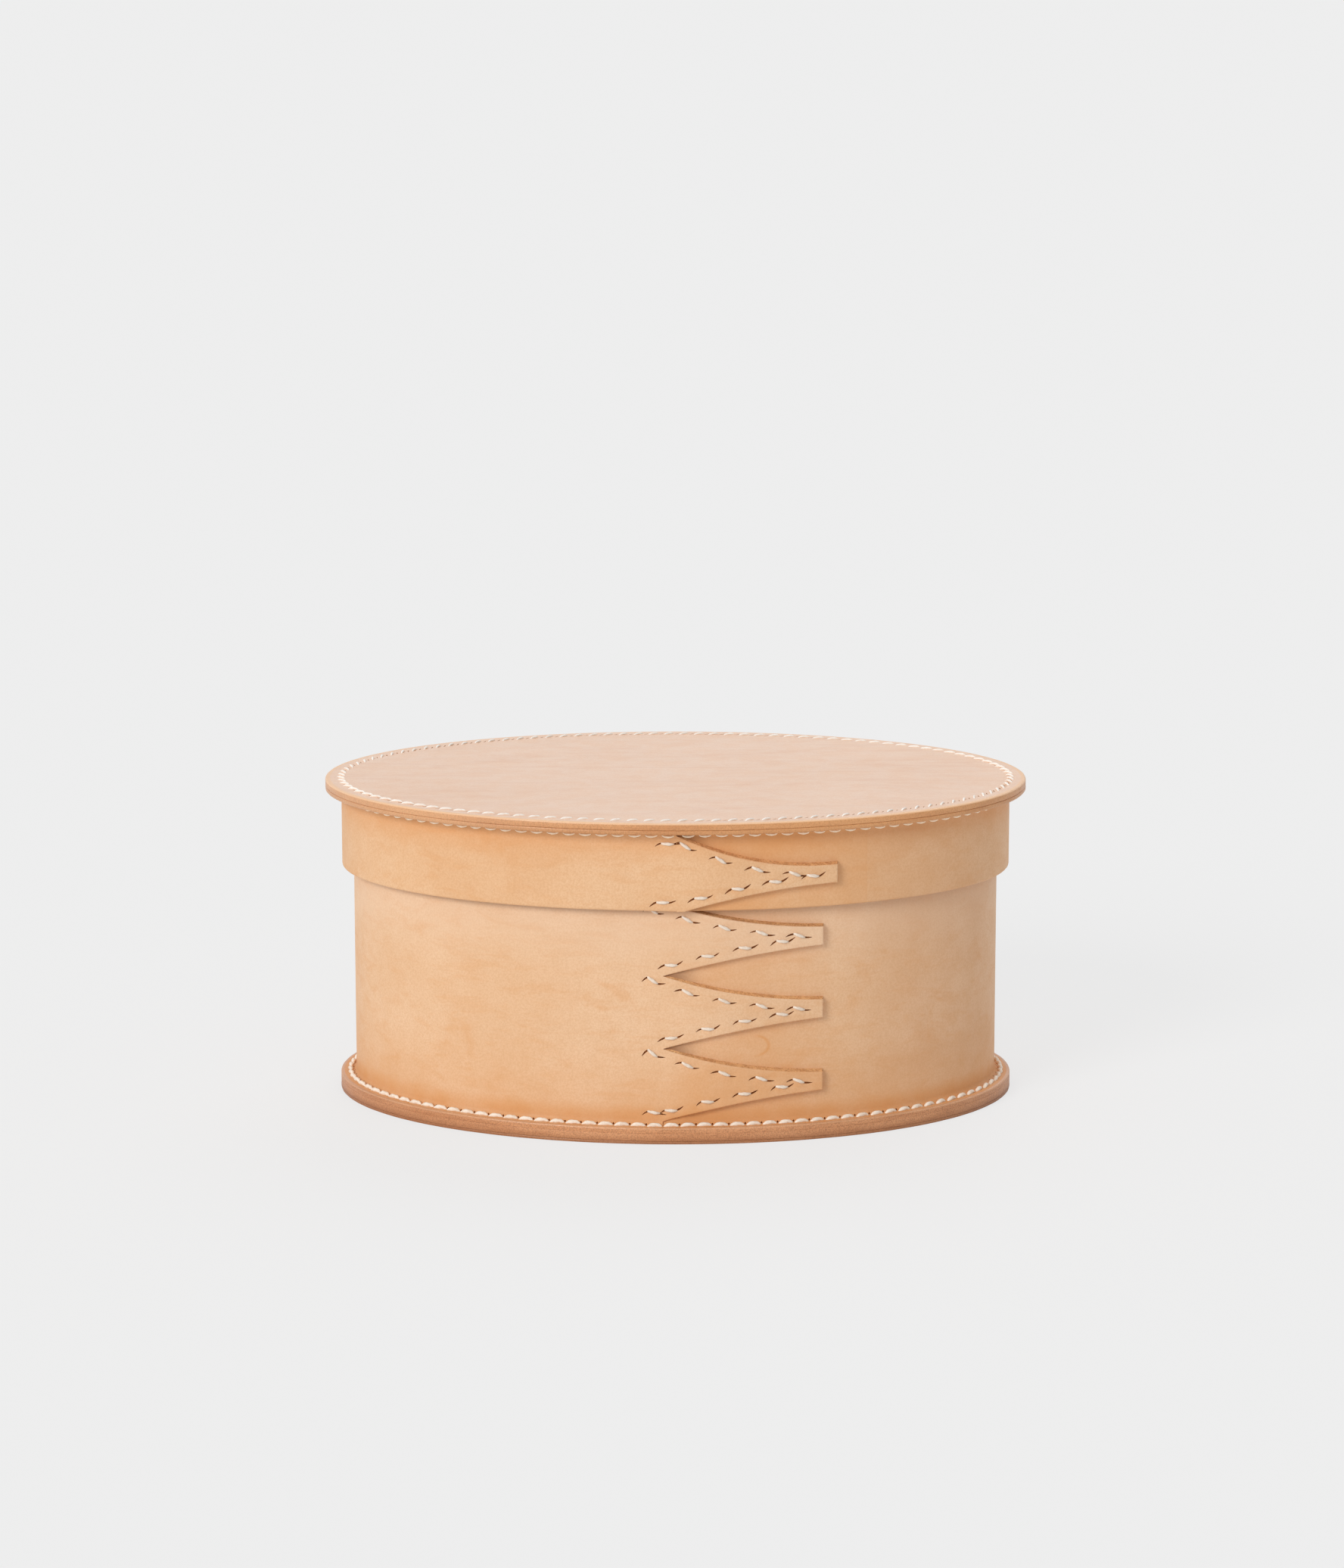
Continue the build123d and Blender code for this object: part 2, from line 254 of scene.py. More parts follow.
wall_lap = Lap(
    inside=-leather, outside=0.0, tongue_x=-8.0, rise_x=-16.0, full_x=16.0, end_x=-3.5,
    root_step=0.5, step_reach=13.5, flange_level=flange_top, fold_out=foot_fold,
)
band_lap = Lap(
    inside=band_gap, outside=band_outside, tongue_x=-6.0, rise_x=-14.0, full_x=18.0, end_x=0.6,
    root_step=0.6, step_reach=12.0, flange_level=lid_flange_bottom, fold_out=lid_fold,
)


def add_object(name, data):
    """A new object in the scene."""
    piece = bpy.data.objects.new(name, data)
    bpy.context.scene.collection.objects.link(piece)
    return piece


class Shell:
    """Grids of points, in millimetres, that are welded into one mesh."""

    def __init__(self):
        self.points, self.faces, self.kinds, self.count = [], [], [], 0

    def add_points(self, points):
        first = self.count
        flat = np.asarray(points, float).reshape(-1, 3)
        self.points.append(flat)
        self.count += len(flat)
        return np.arange(first, self.count).reshape(np.shape(points)[:-1])

    def grid(self, points, kinds=0, wrap_rows=False, wrap_columns=False):
        """Quads between neighbouring points, with a finish for each row of quads."""
        index = self.add_points(points)
        if wrap_columns:
            index = np.concatenate([index, index[:1]], 0)
        if wrap_rows:
            index = np.concatenate([index, index[:, :1]], 1)
        corners = [index[:-1, :-1], index[1:, :-1], index[1:, 1:], index[:-1, 1:]]
        quads = np.stack(corners, -1)
        self.faces.extend(quads.reshape(-1, 4).tolist())
        self.kinds.extend(np.broadcast_to(kinds, quads.shape[:2]).reshape(-1).tolist())

    def polygon(self, points, kind=0):
        self.faces.append(self.add_points(points).tolist())
        self.kinds.append(kind)

    def mesh(self, name, materials):
        mesh = bpy.data.meshes.new(name)
        mesh.from_pydata((np.concatenate(self.points) * MM).tolist(), [], self.faces)
        for material in materials:
            mesh.materials.append(material)
        mesh.polygons.foreach_set("material_index", self.kinds)
        return mesh

    def build(self, name, materials, body, slot, *nodes, crease=40):
        """Makes the object, lets it ride on its body and stand for its nodes."""
        mesh = self.mesh(name, materials)
        work = bmesh.new()
        work.from_mesh(mesh)
        bmesh.ops.remove_doubles(work, verts=work.verts, dist=0.002 * MM)
        bmesh.ops.recalc_face_normals(work, faces=work.faces)
        work.to_mesh(mesh)
        work.free()
        mesh.shade_smooth()
        mesh.set_sharp_from_angle(angle=math.radians(crease))
        piece = add_object(name, mesh)
        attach(piece, body)
        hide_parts(*nodes)


# Materials

def srgb(*values):
    """Linear colour of three 8-bit values that aren't close to black."""
    return (*(((value / 255 + 0.055) / 1.055) ** 2.4 for value in values), 1.0)


class Nodes:
    """A node tree, and short ways to add to it."""

    def __init__(self, tree):
        self.tree = tree

    def fill(self, node, values):
        """Links a node's sockets to others, or gives them values of their own."""
        for key, value in values.items():
            if isinstance(value, bpy.types.NodeSocket):
                self.tree.links.new(value, node.inputs[key])
            else:
                node.inputs[key].default_value = value

    def node(self, kind, values=(), **settings):
        node = self.tree.nodes.new(kind)
        for key, value in settings.items():
            setattr(node, key, value)
        self.fill(node, dict(values))
        return node

    def math(self, operation, first, second=0.0, clamp=False):
        values = {0: first, 1: second}
        return self.node("ShaderNodeMath", values, operation=operation, use_clamp=clamp).outputs[0]

    def mix_shaders(self, share, first, second, output):
        """A mix of two shaders, as the tree's surface."""
        values = {0: share, 1: first.outputs[0], 2: second.outputs[0]}
        mixed = self.node("ShaderNodeMixShader", values).outputs[0]
        self.fill(self.tree.nodes[output], {"Surface": mixed})


class Finish(Nodes):
    """A material whose tones, gloss and relief follow the place on the object, in metres."""

    def __init__(self, name):
        self.material = bpy.data.materials.new(name)
        self.material.use_nodes = True
        super().__init__(self.material.node_tree)
        self.shader = self.tree.nodes["Principled BSDF"]
        self.place = self.node("ShaderNodeTexCoord").outputs["Object"]

    def axes(self, place):
        return self.node("ShaderNodeSeparateXYZ", {"Vector": place}).outputs

    def vector(self, operation, first, second=(0.0, 0.0, 0.0)):
        values = {0: first, 1: second}
        return self.node("ShaderNodeVectorMath", values, operation=operation).outputs

    def stretched(self, x, y, z):
        """Coordinates that run faster along some axes, for streaks along the others."""
        return self.node("ShaderNodeMapping", {"Vector": self.place, "Scale": (x, y, z)}).outputs[0]

    def noise(self, scale, detail=4.0, roughness=0.55, place=None, distortion=0.0):
        values = {
            "Vector": place or self.place, "Scale": scale, "Detail": detail,
            "Roughness": roughness, "Distortion": distortion,
        }
        return self.node("ShaderNodeTexNoise", values).outputs["Fac"]

    def span(self, value, low, high, to_low=0.0, to_high=1.0):
        """Turns the range from low to high into another, smoothly and held at its ends."""
        values = {
            "Value": value, "From Min": low, "From Max": high, "To Min": to_low, "To Max": to_high,
        }
        return self.node("ShaderNodeMapRange", values, interpolation_type="SMOOTHSTEP").outputs["Result"]

    def mix(self, share, first, second):
        """A mix of two colours, through the sockets that the node keeps for colours."""
        return self.node("ShaderNodeMix", {0: share, 6: first, 7: second}, data_type="RGBA").outputs[2]

    def shade(self, colour, share, strength, tone):
        """The colour with another tone over it, as strong as the share and the strength say."""
        return self.mix(self.math("MULTIPLY", share, strength), colour, tone)

    def tint(self, colour, value, low, high, strength, tone):
        """The colour with another tone where the value goes from low to high."""
        return self.shade(colour, self.span(value, low, high), strength, tone)

    def bump(self, height, distance, strength=1.0, under=None):
        values = {"Height": height, "Distance": distance, "Strength": strength}
        if under is not None:
            values["Normal"] = under
        return self.node("ShaderNodeBump", values).outputs["Normal"]

    def finish(self, colour, roughness, normal, specular):
        self.fill(self.shader, {
            "Base Color": colour, "Roughness": roughness, "Normal": normal,
            "Specular IOR Level": specular,
        })
        return self.material


def lay_zones(kit, colour, zones):
    """The colour with zones of other tones, each given as where it comes in along one or more
    axes, its strength and its tone."""
    axes = kit.axes(kit.place)
    uneven = kit.span(kit.noise(60, 3), 0.2, 0.8, 0.7, 1.15)
    for ramps, strength, tone in zones:
        share = kit.math("MULTIPLY", uneven, strength)
        for axis, start, end in ramps:
            ramp = kit.span(axes[axis], start * MM, end * MM)
            share = kit.math("MULTIPLY", share, ramp, True)
        colour = kit.mix(share, colour, tone)
    return colour


def lay_ring(kit, colour, ring, tone):
    """The colour with the right side of a faint ring, given as its middle, radii and strength."""
    middle, radii, strength = ring
    shifted = kit.vector("SUBTRACT", kit.place, [value * MM for value in middle])[0]
    scaled = kit.vector("MULTIPLY", shifted, [1 / (value * MM) for value in radii])[0]
    gap = kit.math("ABSOLUTE", kit.math("SUBTRACT", kit.vector("LENGTH", scaled)["Value"], 1.0))
    share = kit.math("MULTIPLY", kit.span(gap, 0.0, 0.2, 1.0, 0.0), strength)
    right_side = kit.span(kit.axes(scaled)["X"], -0.2, 0.7)
    return kit.shade(colour, share, right_side, tone)


def grain_leather(name, light, deep, warm, zones=(), streaks=0.0, ring=None, gloss=0.52, shine=0.3):
    """Grain side of the leather: soft clouds of tan, stains, fibres, flecks and fine pores."""
    kit = Finish(name)
    darker = tuple(value * tone for value, tone in zip(deep, (0.84, 0.72, 0.6, 1)))
    patches = kit.span(kit.noise(120, 4, 0.6), 0.3, 0.72)
    stains = kit.noise(62, 4, 0.65, kit.stretched(0.6, 1, 1.3), 0.8)
    fibres = kit.noise(230, 4, 0.65, kit.stretched(0.25, 0.6, 1.2), 0.5)
    flecks = kit.noise(1700, 4, 0.75)
    colour = kit.tint(light, kit.noise(26, 3), 0.36, 0.68, 0.45, deep)
    colour = kit.shade(colour, patches, 0.25, deep)
    colour = kit.tint(colour, stains, 0.56, 0.74, 0.3, warm)
    colour = kit.tint(colour, fibres, 0.45, 0.7, 0.22, warm)
    colour = kit.tint(colour, flecks, 0.36, 0.66, 0.34, darker)
    if streaks:
        long_lines = kit.noise(120, 5, 0.62, kit.stretched(0.14, 1.6, 1), 0.7)
        colour = kit.tint(colour, long_lines, 0.5, 0.66, streaks, warm)
    if zones:
        colour = lay_zones(kit, colour, zones)
    if ring:
        colour = lay_ring(kit, colour, ring, warm)
    pores = kit.node("ShaderNodeTexVoronoi", {"Vector": kit.place, "Scale": 950}).outputs["Distance"]
    relief = kit.math("ADD", kit.math("MULTIPLY", pores, 0.6), kit.noise(520, 4, 0.6))
    normal = kit.bump(relief, 0.00007, 0.5, kit.bump(fibres, 0.0003, 0.25))
    return kit.finish(colour, kit.span(patches, 0.0, 1.0, gloss, gloss + 0.1), normal, shine)


def burnished_edge(name, light, deep, dark, low, high, foot, wear_and_highlight, sides):
    """Rubbed and waxed edge of the plates between two heights: fine grain, darker towards its
    foot, pale along its upper corner, partly wear and partly a painted highlight, and painted
    lighter or darker towards its sides as painted light and shade. foot and the corner's
    paleness are strengths, and each side is where its tone comes in along X, its strength and its tone."""
    kit = Finish(name)
    axes = kit.axes(kit.place)
    bands = kit.noise(90, 3, 0.6, kit.stretched(0.5, 0.5, 5), 0.4)
    specks = kit.noise(2600, 3, 0.7)
    colour = kit.tint(light, bands, 0.35, 0.68, 0.6, deep)
    colour = kit.tint(colour, specks, 0.42, 0.62, 0.45, dark)
    colour = kit.tint(colour, axes["Z"], (low + (high - low) * 0.65) * MM, low * MM, foot, dark)
    # Painted light and shade: the edge lighter or darker towards its sides along X.
    for start, end, strength, tone in sides:
        colour = kit.tint(colour, axes["X"], start * MM, end * MM, strength, tone)
    # Pale upper corner: partly wear and partly a painted highlight.
    colour = kit.tint(colour, axes["Z"], (high - 0.5) * MM, (high - 0.25) * MM, wear_and_highlight, edge_highlight_pale)
    relief = kit.math("ADD", bands, kit.math("MULTIPLY", specks, 0.6))
    roughness = kit.span(specks, 0.3, 0.8, 0.3, 0.5)
    return kit.finish(colour, roughness, kit.bump(relief, 0.0001, 0.5), 0.5)


def cut_edge(name, light, deep):
    """Raw cut edge of the fingers: coarse, speckled fibres."""
    kit = Finish(name)
    fibres = kit.noise(1500, 3, 0.7, distortion=0.3)
    clumps = kit.noise(380, 3, 0.6)
    colour = kit.tint(light, clumps, 0.35, 0.7, 0.5, deep)
    colour = kit.tint(colour, fibres, 0.42, 0.68, 0.8, deep)
    relief = kit.math("ADD", fibres, clumps)
    return kit.finish(colour, 0.85, kit.bump(relief, 0.0002, 0.8), 0.15)


def flesh_side(name, light, deep):
    """Inner side of the leather: paler, matt and a little fibrous."""
    kit = Finish(name)
    nap = kit.noise(700, 4, 0.7, distortion=0.6)
    colour = kit.mix(kit.span(kit.noise(45, 4, 0.6), 0.3, 0.7), light, deep)
    colour = kit.tint(colour, nap, 0.4, 0.7, 0.25, deep)
    return kit.finish(colour, 0.88, kit.bump(nap, 0.0003, 0.7), 0.15)


def waxed_thread(name, light, deep):
    """Thick off-white linen thread, smoothed with wax."""
    kit = Finish(name)
    strands = kit.noise(1300, 2, 0.5, distortion=0.6)
    colour = kit.tint(light, strands, 0.4, 0.75, 0.3, deep)
    colour = kit.tint(colour, kit.noise(260, 2), 0.45, 0.75, 0.3, deep)
    return kit.finish(colour, 0.5, kit.bump(strands, 0.00004, 0.5), 0.35)


def awl_hole(name, dark, light):
    """Inside of an awl's cut: brown cut fibres and painted shade of the hole."""
    kit = Finish(name)
    fibres = kit.noise(1800, 3, 0.6)
    colour = kit.mix(kit.span(fibres, 0.35, 0.7), dark, light)
    return kit.finish(colour, 0.9, kit.bump(fibres, 0.0001, 0.8), 0.1)


tan_warm = srgb(218, 150, 86)
wall_tans = (srgb(237, 199, 162), srgb(223, 177, 133), tan_warm)
band_tans = (srgb(234, 193, 152), srgb(221, 170, 122), tan_warm)
# Painted shade: dark brown for the wedge where the fingers' roots meet the layer under them.
root_shade_brown = srgb(113, 60, 27)
# Pale tone for the edges' upper corners and the lid edge's left side: partly wear, mostly painted
# highlight.
edge_highlight_pale = srgb(250, 206, 164)
edge_brown = srgb(124, 72, 40)

# Zones of other tones, their ramps in millimetres from where a tone starts to where it is full
# Darker and redder towards the right of the front: partly the leather's own tone and partly painted
# shade on the side turned from the key light.
right_side = (("X", 44, 76), ("X", 109, 92), ("Y", 20, -20), ("Z", 6, 22))
right_zone = (right_side, 0.25, srgb(200, 142, 98))
foot_zones = (
    ((("Z", 34, 10),), 0.27, tan_warm),
    ((("Z", 12, 7.5),), 0.58, tan_warm),
    ((("Z", 48, 68),), 0.3, srgb(239, 208, 180)),
    right_zone,
)
low_finger_zone = ((("X", -6, 8), ("X", 56, 46), ("Y", 20, -20), ("Z", 38, 22)), 0.32, tan_warm)
# Under the wall's outer end: warmer towards the fingers, partly the leather's tone and partly painted
# shade beside their raised edges, and dark brown painted shade where their roots meet it.
lap_zones = (
    ((("X", 62, 24),), 0.3, tan_warm),
    ((("X", 9, -4), ("Z", 80, 72), ("Z", 10, 22)), 1.0, root_shade_brown),
)
# Warmer towards the top of the band: partly the leather's oranger tone at its fold and partly painted
# shade under the lid's flange.
band_zones = (((("Z", 84, 97),), 0.6, tan_warm), right_zone)
# Under the band's outer end: warmer towards the finger, partly the leather's tone and partly painted
# shade beside it, and dark brown painted shade at its root.
band_lap_zones = (((("X", 90, 20),), 0.45, tan_warm), ((("X", 12, 0),), 0.8, root_shade_brown))
ring_mark = ((24.1, -70.0, 28.9), (4.4, 30.0, 3.1), 0.6)

wall_finish = grain_leather("wall_leather", *wall_tans, foot_zones + (low_finger_zone,))
lapped_wall_finish = grain_leather(
    "lapped_wall_leather", *wall_tans, foot_zones + lap_zones, ring=ring_mark
)
base_finish = grain_leather("base_leather", *wall_tans)
band_finish = grain_leather("band_leather", *band_tans, band_zones)
lapped_band_finish = grain_leather("lapped_band_leather", *band_tans, band_zones + band_lap_zones)
# The lid's leather is given paler, pinker tones than the walls, as painted sheen of the light on its
# top.
lid_finish = grain_leather(
    "lid_leather", srgb(244, 208, 181), srgb(239, 198, 167), srgb(226, 172, 134),
    streaks=0.25, gloss=0.3, shine=0.5,
)
lid_edge_finish = burnished_edge(
    "lid_edge", srgb(217, 157, 106), srgb(196, 131, 82), srgb(144, 88, 48),
    low=lid_flange_bottom, high=box_height, foot=0.15, wear_and_highlight=0.75,
    # Painted light: the lid's edge lighter and more orange towards the right, and paler towards the
    # left.
    sides=((-60, 60, 0.22, srgb(240, 180, 116)), (-10, -80, 0.22, edge_highlight_pale)),
)
base_edge_finish = burnished_edge(
    "base_edge", srgb(221, 160, 113), srgb(197, 134, 87), edge_brown,
    low=0.0, high=flange_top, foot=0.52, wear_and_highlight=0.25,
    # The base's edge darker towards the right, as painted shade on the side away from the key light, and
    # darker towards the far left.
    sides=((-20, 90, 0.08, edge_brown), (-30, -85, 0.24, srgb(150, 84, 44))),
)
cut_finish = cut_edge("cut_edge", srgb(237, 185, 131), srgb(182, 124, 80))
flesh_finish = flesh_side("flesh_side", srgb(226, 190, 154), srgb(208, 166, 126))
# The lid's top thread is painted lighter than the other seams' thread, as painted light for the weak
# light on the top; the thread under the flange is painted warmer, as painted light in the shade there.
lid_thread_finish = waxed_thread("lid_thread", srgb(255, 250, 242), srgb(236, 218, 200))
under_thread_finish = waxed_thread("under_thread", srgb(255, 240, 216), srgb(240, 208, 172))
foot_thread_finish = waxed_thread("foot_thread", srgb(250, 239, 224), srgb(216, 186, 156))
thread_finish = waxed_thread("waxed_thread", srgb(238, 224, 208), srgb(206, 178, 150))
# Awl holes: the brown of the cut fibres, darkened as painted shade of the openings.
hole_finish = awl_hole("awl_hole", srgb(88, 46, 22), srgb(132, 78, 42))
lid_hole_finish = awl_hole("lid_awl_hole", srgb(160, 112, 80), srgb(196, 150, 116))


# Rows of stitches along the fingers

def finger_edge(x, root, tip, sag):
    """Height of a gentle curve from a finger's root to its tip, both places along X and up."""
    share = np.clip((x - root[0]) / (tip[0] - root[0]), 0, 1)
    return root[1] + (tip[1] - root[1]) * share + 4 * sag * share * (1 - share)


def finger_row(root, tip, sag, first, cuts):
    """Spaced stitches along such a curve, the first of them this far along it: their middles
    along X and up, their turns from level and the turns of their cuts."""
    x = np.linspace(root[0], tip[0], 200)
    z = finger_edge(x, root, tip, sag)
    along = lengths(x, z)
    places = first + finger_stitch_pitch * np.arange(row_count)
    turns = np.interp(places, along[1:], np.degrees(np.arctan2(np.diff(z), np.diff(x)))) + row_lean
    row = zip(np.interp(places, along, x), np.interp(places, along, z), turns)
    return [(*stitch, *cuts) for stitch in row]


# Each stitch: place along X, height, turn, and the turns of the awl's cuts at its two ends
rising_cuts = (33, 29)
falling_cuts = (17, 0)
notch_cuts = (43, 0)
notch_stitch_drops = (1.4, 1.4, 2.3)
wall_stitches = []
for number in range(finger_count):
    middle_z = first_notch_z + (number + 0.5) * finger_pitch
    root, tip = finger_pitch / 2 - finger_seam_inset, finger_tip / 2 - finger_seam_inset
    for side, first, cuts in ((1, 7.7, falling_cuts), (-1, 2.6, rising_cuts)):
        wall_stitches += finger_row(
            (wall_lap.end_x, middle_z + side * root), (wall_tip_x, middle_z + side * tip),
            -side * finger_sag, first, cuts,
        )
wall_stitches += [
    (-6.6, first_notch_z + number * finger_pitch - drop, -36, *notch_cuts)
    for number, drop in enumerate(notch_stitch_drops, 1)
]
wall_stitches.append((-6.3, first_notch_z + 2.7, -8, 27, -5))
band_tip = (band_tip_x, band_finger_z)
band_stitches = finger_row(
    (band_lap.end_x, lid_flange_bottom - finger_seam_inset), band_tip,
    -band_upper_sag, 2.9, falling_cuts,
)
band_stitches += finger_row(
    (band_low_root_x, band_bottom + finger_seam_inset), band_tip, band_lower_sag, 5.1, rising_cuts
)
band_stitches += [
    (-2.1, lid_flange_bottom - 3.3, -2, 24, 8),
    (-3.5, band_bottom + 2.7, -2, 38, 22),
]


def heading_of(degrees):
    """Direction along X and up at this turn from level."""
    return Vector((math.cos(math.radians(degrees)), math.sin(math.radians(degrees))))


def cut_places(stitches, seed):
    """Middle, turn and size share of each awl's cut. It starts where the thread dives in, and its
    turn points at the thread."""
    rng = np.random.default_rng(seed)
    cuts = []
    for x, z, turn, left_turn, right_turn in stitches:
        reach = heading_of(turn) * stitch_half
        for side, cut_turn in ((-1, left_turn), (1, right_turn)):
            cut_turn += rng.uniform(-cut_sway, cut_sway)
            size = rng.uniform(*cut_sizes)
            slope = heading_of(cut_turn) * cut_length * size * cut_reach
            middle = Vector((x, z)) + side * (reach + slope)
            cuts.append((middle.x, middle.y, cut_turn + (180 if side > 0 else 0), size))
    return cuts


wall_cuts = cut_places(wall_stitches, 11)
band_cuts = cut_places(band_stitches, 12)


def dents(x, z, cuts):
    """How deep the leather is drawn in round the awl's cuts."""
    x, z = np.broadcast_arrays(x, z)
    total = np.zeros(x.shape)
    for cut_x, cut_z, _, _ in cuts:
        total += cut_depth * np.exp(-((x - cut_x) ** 2 + (z - cut_z) ** 2) / cut_spread ** 2)
    return total


# The two strips

GRAIN, FLESH, RIM, CUT, LAPPED = range(5)
fine_column, coarse_column = 0.6, 2.2
fine_from, fine_to = -24.0, 58.0
edge_shares = (0, 0.004, 0.011, 0.024, 0.045, 0.075)
row_shares = np.array([*edge_shares, *np.linspace(0.11, 0.89, 25), *(1 - s for s in edge_shares[::-1])])
flange_shares = np.linspace(0, 1, 6)[1:-1]
level_slack = 0.01
from_side, to_side = (0, 30, 60, 90), (90, 60, 30, 0)


def strip_columns(lap):
    """Angles of a strip's columns, from its start on the right, round and back to its end, their
    places along X, the offsets of both faces, and how many columns are lapped at both ends."""
    first = front_angle(np.arange(lap.end_x + flange_slit, fine_to, fine_column))
    last_x = np.arange(fine_from, lap.end_x - fine_column / 2, fine_column)
    last = front_angle(np.append(last_x, lap.end_x)) + 2 * math.pi
    start = front_angle(fine_to)
    length = (last[0] - start) * (half_length + half_width) / 2
    middle = np.linspace(start, last[0], int(length / coarse_column))[:-1]
    angles = np.concatenate([first, middle, last])[:, None]
    outer, inner = np.full(angles.shape, lap.outside), np.full(angles.shape, lap.inside)
    first, last = len(first), len(last)
    x = half_length * np.cos(angles)
    outer[:first] = lap.under(x[:first])
    outer[-last:] = lap.over(x[-last:])
    inner[-last:] = lap.back(x[-last:])
    return angles, x, outer, inner, first, last


def arc(offset, level, out, up, turns, kind):
    """Part of a strip's section that turns a corner: out and up say how far its far ends lie off
    the corner, at 90 and at 0 degrees."""
    turns = np.radians(turns)
    return offset + out * (1 - np.cos(turns)), level + up * (1 - np.sin(turns)), kind


def flat(start, end, level):
    """Part of a strip's section that runs level along its flange."""
    return start + (end - start) * flange_shares, np.full(len(flange_shares), level), GRAIN


def sweep(shell, angles, sections, lapped=0):
    """A closed section carried along a strip's columns, the first of them lapped over. Each of
    its parts has offsets, heights and a finish."""
    columns = len(angles)
    offsets = [np.broadcast_to(part, (columns, len(levels))) for part, levels, _ in sections]
    heights = np.concatenate([levels for _, levels, _ in sections])
    kinds = np.concatenate([np.full(len(levels), kind) for _, levels, kind in sections])
    x, y = oval(angles, np.concatenate(offsets, 1))
    points = to_points(x, y, heights)
    kinds = np.tile(kinds, (columns - 1, 1))
    kinds[:lapped][kinds[:lapped] == GRAIN] = LAPPED
    shell.grid(points, kinds, wrap_rows=True)
    return points, heights


def add_tongue(shell, lap, low, high):
    """The inner end of a strip, thinned where it runs back under the outer end."""
    x = np.linspace(lap.tongue_x, lap.end_x + flange_slit + tongue_tuck, tongue_columns)
    angles = front_angle(x)[:, None]
    x = half_length * np.cos(angles)
    outer = np.minimum(lap.back(x), lap.under(x)) - tongue_slit
    outer = np.maximum(outer, lap.inside + tongue_thin)
    levels = np.array([low, high])
    sections = [(outer, levels, FLESH), (lap.inside, levels[::-1], FLESH)]
    points, _ = sweep(shell, angles, sections)
    shell.polygon(points[0], FLESH)


def add_finger(shell, lap, lower, upper, cuts):
    """One finger: its face, its cut edges and its back, from the strip's end to its tip. Its
    lower and upper edge are given as their root, tip and sag."""
    tip_x = lower[1][0]
    near_tip = np.array([1.2, 0.8, 0.5, 0.28, 0.14, 0.05, 0.0])
    x = np.concatenate([np.arange(lap.end_x, tip_x - 1.5, fine_column), tip_x - near_tip])[:, None]
    low, high = finger_edge(x, *lower), finger_edge(x, *upper)
    growing = smooth((x - lap.end_x) / edge_reach)
    z = low + (high - low) * row_shares
    to_edge = np.minimum(np.minimum(z - low, high - z), tip_x - x)
    round_in = np.clip(1 - to_edge / finger_bevel, 0, 1) ** 2 * finger_bevel * bevel_share
    face = lap.over(x) + lap.fold(z) - round_in * growing - dents(x, z, cuts)
    under = lap.under(x)
    depth_shares = np.array([0.12, 0.3, 0.5, 0.7, 0.88])
    torn = np.random.default_rng(7).normal(0, torn_edge, (2, len(x), len(depth_shares))) * growing
    fade = growing * depth_shares * finger_slant
    upper_z = high + fade + torn[0]
    lower_z = low - fade * lower_slant_share + torn[1]
    upper_o = face[:, -1:] + (under + lap.fold(high) - face[:, -1:]) * depth_shares
    lower_o = face[:, :1] + (under + lap.fold(low) - face[:, :1]) * depth_shares
    slant = growing * finger_slant
    back_z = np.concatenate([high + slant, (low + high) / 2, low - slant * lower_slant_share], 1)
    heights = np.concatenate([z, upper_z, back_z, lower_z[:, ::-1]], 1)
    offsets = np.concatenate([face, upper_o, under + lap.fold(back_z), lower_o[:, ::-1]], 1)
    kinds = np.full(heights.shape[1], CUT)
    kinds[: len(row_shares) - 1] = GRAIN
    points = to_points(x, front(x, offsets), heights)
    shell.grid(points, kinds, wrap_rows=True)
    shell.polygon(points[-1], CUT)


